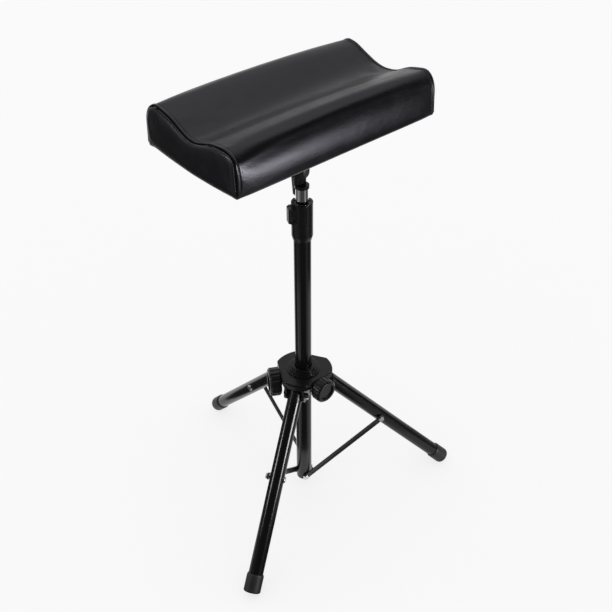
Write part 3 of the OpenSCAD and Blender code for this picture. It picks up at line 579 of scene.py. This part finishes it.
def cap_grid(ring, outward):
    """An end panel's points, filled in between its four edges and puffed out."""
    top = ring[:ACROSS + 1]
    front = ring[ACROSS:ACROSS + UP + 1]
    bottom = ring[ACROSS + UP:2 * ACROSS + UP + 1][::-1]
    back = np.vstack([ring[2 * ACROSS + UP:], ring[:1]])[::-1]
    grid = np.zeros((UP + 1, ACROSS + 1, 3))
    for i in range(UP + 1):
        v = crowd(i / UP)
        for j in range(ACROSS + 1):
            u = crowd(j / ACROSS)
            grid[i, j] = ((1 - v) * at_share(top, u) + v * at_share(bottom, u)
                + (1 - u) * at_share(back, v) + u * at_share(front, v)
                - (1 - u) * (1 - v) * top[0] - u * (1 - v) * top[-1]
                - (1 - u) * v * bottom[0] - u * v * bottom[-1])
            puff = PUFF * (1 - abs(2 * u - 1) ** PUFF_POWERS[0]) * (1 - abs(2 * v - 1) ** PUFF_POWERS[1])
            grid[i, j, 0] += outward * puff * MM
    return grid


def cushion_mesh(rings, caps):
    """Points and faces of the closed cushion from its rings and the grids of its two end panels, of
    which only the inner points are used."""
    points = [p for ring in rings for p in ring]
    faces = []
    for i in range(len(rings) - 1):
        for j in range(RING):
            a = i * RING + j
            b = i * RING + (j + 1) % RING
            faces.append((a, a + RING, b + RING, b))
    for end, grid in enumerate(caps):
        first = 0 if end == 0 else (len(rings) - 1) * RING
        number = np.zeros((UP + 1, ACROSS + 1), int)
        for i in range(UP + 1):
            for j in range(ACROSS + 1):
                if i == 0:
                    number[i, j] = first + j
                elif i == UP:
                    number[i, j] = first + 2 * ACROSS + UP - j
                elif j == 0:
                    number[i, j] = first + RING - i
                elif j == ACROSS:
                    number[i, j] = first + ACROSS + i
                else:
                    number[i, j] = len(points)
                    points.append(grid[i, j])
        for i in range(UP):
            for j in range(ACROSS):
                quad = (number[i, j], number[i, j + 1], number[i + 1, j + 1], number[i + 1, j])
                faces.append(quad if end == 0 else quad[::-1])
    return np.array(points), faces


def swell(points, faces):
    """Cloth with pressure fills the cover between its seams. The bottom and the end seams are held."""
    last_ring = (STATIONS - 1) * RING
    low = PAD_MID.z + BASE_Z + (HEM_ROUND[1] + CLOTH_HELD) * MM
    held = [i for i, p in enumerate(points) if p[2] < low or i < RING or last_ring <= i < STATIONS * RING]
    piece = new_object("swelling", points, faces, FINISHES["leather"])
    group = piece.vertex_groups.new(name="held")
    group.add(held, 1.0, "REPLACE")
    cloth = piece.modifiers.new("Cloth", "CLOTH")
    cloth.settings.quality = CLOTH_QUALITY
    cloth.settings.mass = CLOTH_MASS
    cloth.settings.tension_stiffness = CLOTH_STRETCH
    cloth.settings.compression_stiffness = CLOTH_STRETCH
    cloth.settings.shear_stiffness = CLOTH_SHEAR
    cloth.settings.bending_stiffness = CLOTH_BEND
    cloth.settings.vertex_group_mass = "held"
    cloth.settings.use_pressure = True
    cloth.settings.uniform_pressure_force = CLOTH_PRESSURE
    cloth.settings.effector_weights.gravity = 0
    cloth.collision_settings.use_collision = False
    scene = bpy.context.scene
    for number in range(1, CLOTH_FRAMES + 1):
        scene.frame_set(number)
    result = piece.evaluated_get(bpy.context.evaluated_depsgraph_get()).to_mesh()
    moved = np.array([v.co for v in result.vertices])
    piece.modifiers.clear()
    bpy.data.objects.remove(piece)
    scene.frame_set(1)
    step = moved - points
    size = np.linalg.norm(step, axis=1, keepdims=True)
    reach = CLOTH_REACH * MM
    return points + step * reach / np.maximum(size, reach)


def refine(wrap, xs):
    """The rings with more stations beside the two end seams, where the sewn band and its groove are,
    and the same rings without them, which the seams follow."""
    near = np.array(BAND_AT) * MM
    inner = [x for x in xs if abs(x) < HALF_L - near[-1] - BAND_CLEAR * MM]
    wanted = np.concatenate([-HALF_L + near, inner, HALF_L - near[::-1]])
    lifts = np.concatenate([BAND_LIFTS, np.zeros(len(inner)), BAND_LIFTS[::-1]])
    rings = np.zeros((len(wanted), RING, 3))
    for j in range(RING):
        along = wrap[:, j, 0] - PAD_MID.x
        for k in range(3):
            rings[:, j, k] = np.interp(wanted, along, wrap[:, j, k])
    rings[0], rings[-1] = wrap[0], wrap[-1]
    outline = rings.copy()
    rings[0, :, 0] += SEAM_SINK * MM
    rings[-1, :, 0] -= SEAM_SINK * MM
    for i in np.flatnonzero(lifts):
        ring = rings[i]
        after = np.roll(ring, -1, axis=0) - np.roll(ring, 1, axis=0)
        out = np.column_stack([np.zeros(RING), after[:, 2], -after[:, 1]])
        out /= np.linalg.norm(out, axis=1, keepdims=True)
        above = ring[:, 2] - PAD_MID.z - BASE_Z
        keep = np.clip((above - FADE_FROM * MM) / (FADE_OVER * MM), 0, 1)[:, None]
        size = (BAND_T if lifts[i] > 0 else GROOVE_T) * MM
        rings[i] = ring + out * lifts[i] * size * keep
    return rings, outline


def crease_ends(mesh, stations):
    """Keeps the cushion's two end rings sharp where the mesh is smoothed."""
    sharp = [0.0] * len(mesh.edges)
    for first in (0, (stations - 1) * RING):
        for number, edge in enumerate(mesh.edges):
            if all(first <= corner < first + RING for corner in edge.vertices):
                sharp[number] = SEAM_CREASE
    mesh.attributes.new("crease_edge", "FLOAT", "EDGE").data.foreach_set("value", sharp)


def sewn_cushion():
    """The cushion, and the rings that its seams follow."""
    xs = np.linspace(-HALF_L, HALF_L, STATIONS)
    rings = [to_frame(x, ring_at(x / HALF_L)) for x in xs]
    points, faces = cushion_mesh(rings, [cap_grid(rings[0], -1), cap_grid(rings[-1], 1)])
    points = swell(points, faces)
    fine, outline = refine(points[:STATIONS * RING].reshape(STATIONS, RING, 3), xs)
    caps = np.zeros((2, UP + 1, ACROSS + 1, 3))
    caps[:, 1:-1, 1:-1] = points[STATIONS * RING:].reshape(2, UP - 1, ACROSS - 1, 3)
    points, faces = cushion_mesh(fine, caps)
    cushion = new_object("cushion_cover", points, faces, FINISHES["leather"])
    crease_ends(cushion.data, len(fine))
    smoother = cushion.modifiers.new("Subdivision", "SUBSURF")
    smoother.levels = 1
    smoother.render_levels = 1
    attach(cushion, "head")
    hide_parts("pad_cover", "pad_foam_front", "pad_foam_back", "end_panel_left", "end_panel_right",
        "welt_left", "welt_right")
    return cushion, outline


# Stitches and seams

def capsule(start, end, radius):
    """Points and faces of one stitch that dives into the cover at both ends."""
    axis = (end - start).normalized()
    across = axis.orthogonal().normalized()
    other = axis.cross(across)
    length = (end - start).length
    sides = STITCH_SIDES
    points = [start - axis * radius]
    for share, size in STITCH_PROFILE:
        for k in range(sides):
            a = 2 * math.pi * k / sides
            out = (across * math.cos(a) + other * math.sin(a)) * radius * size
            points.append(start + axis * length * share + out)
    points.append(end + axis * radius)
    faces = [(0, 1 + (k + 1) % sides, 1 + k) for k in range(sides)]
    for r in range(len(STITCH_PROFILE) - 1):
        for k in range(sides):
            a = 1 + r * sides + k
            b = 1 + r * sides + (k + 1) % sides
            faces.append((a, b, b + sides, a + sides))
    tip = len(points) - 1
    faces += [(tip - sides + k, tip - sides + (k + 1) % sides, tip) for k in range(sides)]
    return points, faces


def sew(name, line, tree):
    """A row of stitches along a line, each lying on the cover."""
    line = np.array(line)
    line = even(line, max(3, round(length_of(line) / (STITCH_PITCH * MM))))
    points, faces = [], []
    for a, b in zip(line[:-1], line[1:]):
        a, b = Vector(a), Vector(b)
        middle, along = (a + b) / 2, (b - a).normalized()
        ends = []
        for way in (-1, 1):
            spot, normal, _, _ = tree.find_nearest(middle + along * way * STITCH_L * MM / 2)
            ends.append(spot + normal * STITCH_R * MM * STITCH_PROUD)
        more, shapes = capsule(ends[0], ends[1], STITCH_R * MM)
        faces += [tuple(len(points) + k for k in f) for f in shapes]
        points += more
    piece = new_object(name, points, faces, FINISHES["thread_and_highlight"])
    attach(piece, "head")


def shade_cord(name, line):
    """A thin round near-black cord along a line that lies across the pad: painted shade in the seam."""
    line = np.array(line)
    along = np.gradient(line, axis=0)
    along /= np.linalg.norm(along, axis=1, keepdims=True)
    lengthwise = np.array((1, 0, 0))
    points, faces = [], []
    for spot, out in zip(line, np.cross(along, lengthwise)):
        for k in range(SHADE_CORD_SIDES):
            a = 2 * math.pi * k / SHADE_CORD_SIDES
            points.append(spot + (out * math.cos(a) + lengthwise * math.sin(a)) * SHADE_CORD_R * MM)
    for i in range(len(line) - 1):
        for k in range(SHADE_CORD_SIDES):
            a = i * SHADE_CORD_SIDES + k
            b = i * SHADE_CORD_SIDES + (k + 1) % SHADE_CORD_SIDES
            faces.append((a, b, b + SHADE_CORD_SIDES, a + SHADE_CORD_SIDES))
    piece = new_object(name, points, faces, FINISHES["seam_shade_cord"])
    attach(piece, "head")


def seams(cushion, outline):
    """At each end a row of stitches in the groove, the near-black cord in the seam that paints its shade,
    and a row on the end panel.
    """
    tree = BVHTree.FromObject(cushion, bpy.context.evaluated_depsgraph_get())
    low = PAD_MID.z + BASE_Z + ROWS_FROM * MM
    order = list(range(2 * ACROSS + UP, RING)) + list(range(0, ACROSS + UP + 1))
    for name, ring, outward in (("left", outline[0], -1), ("right", outline[-1], 1)):
        lengthwise = np.array([outward * MM, 0, 0])
        seam = ring[order]
        inward = ring.mean(axis=0) - seam
        inward[:, 0] = 0
        inward /= np.linalg.norm(inward, axis=1, keepdims=True)
        rows = [seam - lengthwise * GROOVE_AT, seam + inward * SHADE_CORD_IN * MM - lengthwise * SHADE_CORD_IN,
            seam + inward * END_ROW_IN * MM + lengthwise * END_ROW_OUT]
        groove, middle, panel = ([p for p in row if p[2] > low] for row in rows)
        sew("stitches_" + name + "_top", groove, tree)
        shade_cord("seam_shade_cord_" + name, middle)
        sew("stitches_" + name + "_end", panel, tree)


# Studio

def floor():
    h = FLOOR_HALF
    corners = [(-h, -h, 0), (h, -h, 0), (h, h, 0), (-h, h, 0)]
    piece = new_object("floor", corners, [(0, 1, 2, 3)], floor_paper(), smooth=False)


def card(name, points, faces, strength):
    """A glowing card that paints a reflection: the finishes mirror it, and it neither lights the object
    nor shows itself.
    """
    piece = new_object(name, points, faces, reflection_glow(name, strength), smooth=False)
    piece.visible_camera = False
    piece.visible_diffuse = False
    piece.visible_transmission = False
    piece.visible_volume_scatter = False
    piece.visible_shadow = False


# One ring of a floor card: a painted reflection, seen only in the finishes.
def floor_reflection_card(start, end, strength, ring):
    steps = max(2, round((end - start) / CARD_STEP))
    points = []
    for a in np.radians(np.linspace(start, end, steps + 1)):
        for r in CARD_RINGS[ring:ring + 2]:
            points.append((r * math.cos(a), r * math.sin(a), CARD_Z))
    faces = [(2 * k, 2 * k + 1, 2 * k + 3, 2 * k + 2) for k in range(steps)]
    card("floor_card_%d_%d" % (start, ring), points, faces, strength)


# A room card: a painted reflection, seen only in the finishes.
def room_reflection_card(name, span, rise, away, strength):
    points, faces = [], []
    for e in np.radians(np.linspace(*rise, ROOM_STEPS_UP + 1)):
        for a in np.radians(np.linspace(*span, ROOM_STEPS_ROUND + 1)):
            points.append((away * math.cos(e) * math.cos(a), away * math.cos(e) * math.sin(a),
                ROOM_Z + away * math.sin(e)))
    row = ROOM_STEPS_ROUND + 1
    for i in range(ROOM_STEPS_UP):
        for k in range(ROOM_STEPS_ROUND):
            faces.append((i * row + k, i * row + k + 1, (i + 1) * row + k + 1, (i + 1) * row + k))
    card(name, points, faces, strength)


def softbox(name, at, towards, width, height, watts):
    """A lamp that the finishes mirror, without light on plain colours."""
    data = bpy.data.lights.new(name, "AREA")
    data.shape = "RECTANGLE"
    data.size = width
    data.size_y = height
    data.energy = watts
    lamp = bpy.data.objects.new(name, data)
    lamp.location = at
    lamp.visible_diffuse = False
    lamp.rotation_euler = (Vector(towards) - Vector(at)).to_track_quat("-Z", "Y").to_euler()
    bpy.context.scene.collection.objects.link(lamp)


def studio():
    floor()
    for start, end, near, far in FLOOR_REFLECTION_CARDS:
        floor_reflection_card(start, end, near, 0)
        floor_reflection_card(start, end, far, 1)
    for values in ROOM_REFLECTION_CARDS:
        room_reflection_card(*values)
    for values in SOFTBOXES:
        softbox(*values)
    world = bpy.data.worlds.new("studio")
    world.use_nodes = True
    back = world.node_tree.nodes["Background"]
    back.inputs["Color"].default_value = (1, 1, 1, 1)
    back.inputs["Strength"].default_value = WORLD_STRENGTH
    bpy.context.scene.world = world


def camera():
    heading, pitch, roll = (math.radians(a) for a in (HEADING, PITCH, ROLL))
    level = Vector((math.sin(heading), math.cos(heading), 0))
    ahead = level * math.cos(pitch) - Vector((0, 0, math.sin(pitch)))
    right = Vector((math.cos(heading), -math.sin(heading), 0))
    up = right.cross(ahead)
    turned_right = math.cos(roll) * right + math.sin(roll) * up
    turned_up = -math.sin(roll) * right + math.cos(roll) * up
    data = bpy.data.cameras.new("camera")
    data.lens = LENS
    data.clip_end = VIEW_REACH
    eye = bpy.data.objects.new("camera", data)
    facing = Matrix((turned_right, turned_up, -ahead)).transposed()
    eye.matrix_world = Matrix.Translation(CAMERA_AT) @ facing.to_4x4()
    bpy.context.scene.collection.objects.link(eye)
    bpy.context.scene.camera = eye


seams(*sewn_cushion())
finish_cad_nodes()
camera()
studio()
bpy.context.scene.view_settings.view_transform = "Standard"
